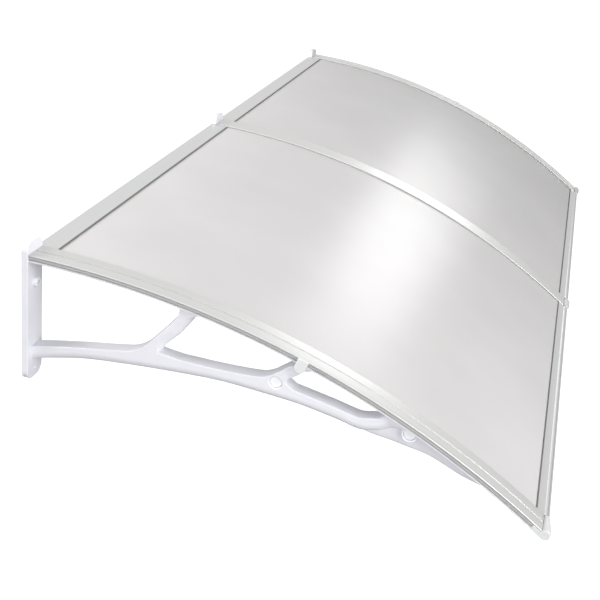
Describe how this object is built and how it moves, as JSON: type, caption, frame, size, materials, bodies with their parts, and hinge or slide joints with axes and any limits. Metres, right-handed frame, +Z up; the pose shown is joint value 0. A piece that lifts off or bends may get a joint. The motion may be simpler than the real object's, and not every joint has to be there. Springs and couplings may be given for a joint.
{
  "type": "door canopy",
  "caption": "Polycarbonate door canopy: curved milky twin-wall sheets under aluminium strips, on white moulded wall brackets with open scrolled arms",
  "frame": {"origin": "on the wall, on the back of the middle bracket's plate, level with the top of the sheets there", "axes": "+X points from the wall to the front edge, +Y runs along the wall from the near end (seen nearest in the picture) to the far end, +Z is up"},
  "size_m": [0.9646, 2.0106, 0.3371],
  "materials": {
    "bracket_plastic": "moulded plastic, cool white, soft sheen",
    "plug_plastic": "white moulded push-in plug",
    "strip_aluminium": "satin anodised extrusion, silver",
    "bar_aluminium": "satin anodised extrusion, silver",
    "gasket_rubber": "dark extruded sealing rubber",
    "sheet_polycarbonate": "milky translucent twin-wall sheet, flutes run from wall to front",
    "cap_plastic": "grey moulded plastic in the strip's silver tone",
    "clip_plastic": "light grey moulded plastic",
    "screw_steel": "bright zinc-plated steel"
  },
  "bodies": {
    "root": {"bracket_near": "bracket_plastic", "bracket_middle": "bracket_plastic", "bracket_far": "bracket_plastic", "joint_plug_near": "plug_plastic", "joint_plug_middle": "plug_plastic", "joint_plug_far": "plug_plastic", "tip_plug_near": "plug_plastic", "tip_plug_middle": "plug_plastic", "tip_plug_far": "plug_plastic", "cover_strip_near": "strip_aluminium", "cover_strip_middle": "strip_aluminium", "cover_strip_far": "strip_aluminium", "strip_gasket_near": "gasket_rubber", "strip_gasket_middle": "gasket_rubber", "strip_gasket_far": "gasket_rubber", "rail_gasket_near": "gasket_rubber", "rail_gasket_middle": "gasket_rubber", "rail_gasket_far": "gasket_rubber", "end_cap_near": "cap_plastic", "end_cap_middle": "cap_plastic", "end_cap_far": "cap_plastic", "sheet_near": "sheet_polycarbonate", "sheet_far": "sheet_polycarbonate", "rear_bar_near": "bar_aluminium", "rear_bar_far": "bar_aluminium", "front_bar_near": "bar_aluminium", "front_bar_far": "bar_aluminium", "rear_lip_near": "gasket_rubber", "rear_lip_far": "gasket_rubber", "front_lip_near": "gasket_rubber", "front_lip_far": "gasket_rubber", "edge_clip_near": "clip_plastic", "edge_clip_far": "clip_plastic", "strip_screw_near_1": "screw_steel", "strip_screw_near_2": "screw_steel", "strip_screw_near_3": "screw_steel", "strip_screw_middle_1": "screw_steel", "strip_screw_middle_2": "screw_steel", "strip_screw_middle_3": "screw_steel", "strip_screw_far_1": "screw_steel", "strip_screw_far_2": "screw_steel", "strip_screw_far_3": "screw_steel"}
  },
  "joints": []
}
